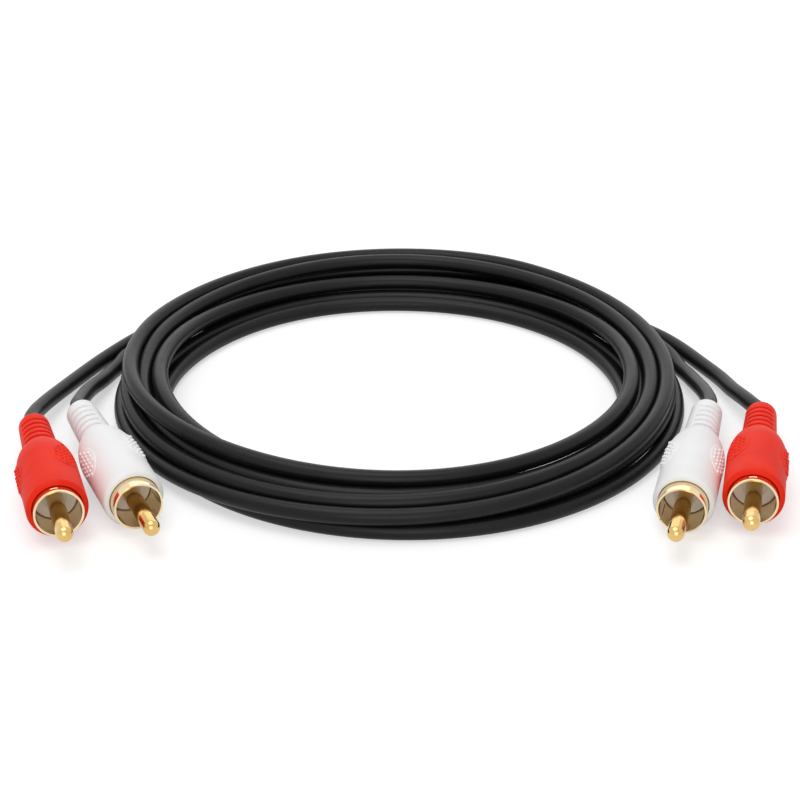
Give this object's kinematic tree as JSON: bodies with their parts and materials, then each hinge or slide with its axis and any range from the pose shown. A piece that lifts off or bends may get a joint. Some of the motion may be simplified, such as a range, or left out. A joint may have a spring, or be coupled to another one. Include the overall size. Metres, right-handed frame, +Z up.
{
  "type": "stereo phono cable",
  "caption": "Coiled twin audio lead with moulded phono plugs at each end, a red and a white one side by side, each with a ribbed strain relief.",
  "frame": {"origin": "on the supporting surface, under the middle of the box round the four plugs", "axes": "+Z up from the surface, +X from the left pair of plugs to the right pair, and the pins point towards -Y"},
  "size_m": [0.1516, 0.1289, 0.0126],
  "materials": {
    "grip_red": "satin soft PVC, red",
    "grip_white": "satin soft PVC, white",
    "plated_metal": "polished gold-coloured plating",
    "insulator": "matt, off-white",
    "inner_mould": "matt, natural polyethylene",
    "copper": "bare twisted copper strands",
    "jacket": "satin black PVC"
  },
  "bodies": {
    "root": {"cord_coil": "jacket", "left_red_centre_conductor": "copper", "left_red_centre_pin": "plated_metal", "left_red_core_insulation": "insulator", "left_red_grip": "grip_red", "left_red_ground_shell": "plated_metal", "left_red_inner_mould": "inner_mould", "left_red_insulator": "insulator", "left_red_lead": "jacket", "left_red_shield_pigtail": "copper", "left_white_centre_conductor": "copper", "left_white_centre_pin": "plated_metal", "left_white_core_insulation": "insulator", "left_white_grip": "grip_white", "left_white_ground_shell": "plated_metal", "left_white_inner_mould": "inner_mould", "left_white_insulator": "insulator", "left_white_lead": "jacket", "left_white_shield_pigtail": "copper", "right_red_centre_conductor": "copper", "right_red_centre_pin": "plated_metal", "right_red_core_insulation": "insulator", "right_red_grip": "grip_red", "right_red_ground_shell": "plated_metal", "right_red_inner_mould": "inner_mould", "right_red_insulator": "insulator", "right_red_lead": "jacket", "right_red_shield_pigtail": "copper", "right_white_centre_conductor": "copper", "right_white_centre_pin": "plated_metal", "right_white_core_insulation": "insulator", "right_white_grip": "grip_white", "right_white_ground_shell": "plated_metal", "right_white_inner_mould": "inner_mould", "right_white_insulator": "insulator", "right_white_lead": "jacket", "right_white_shield_pigtail": "copper"}
  },
  "joints": []
}
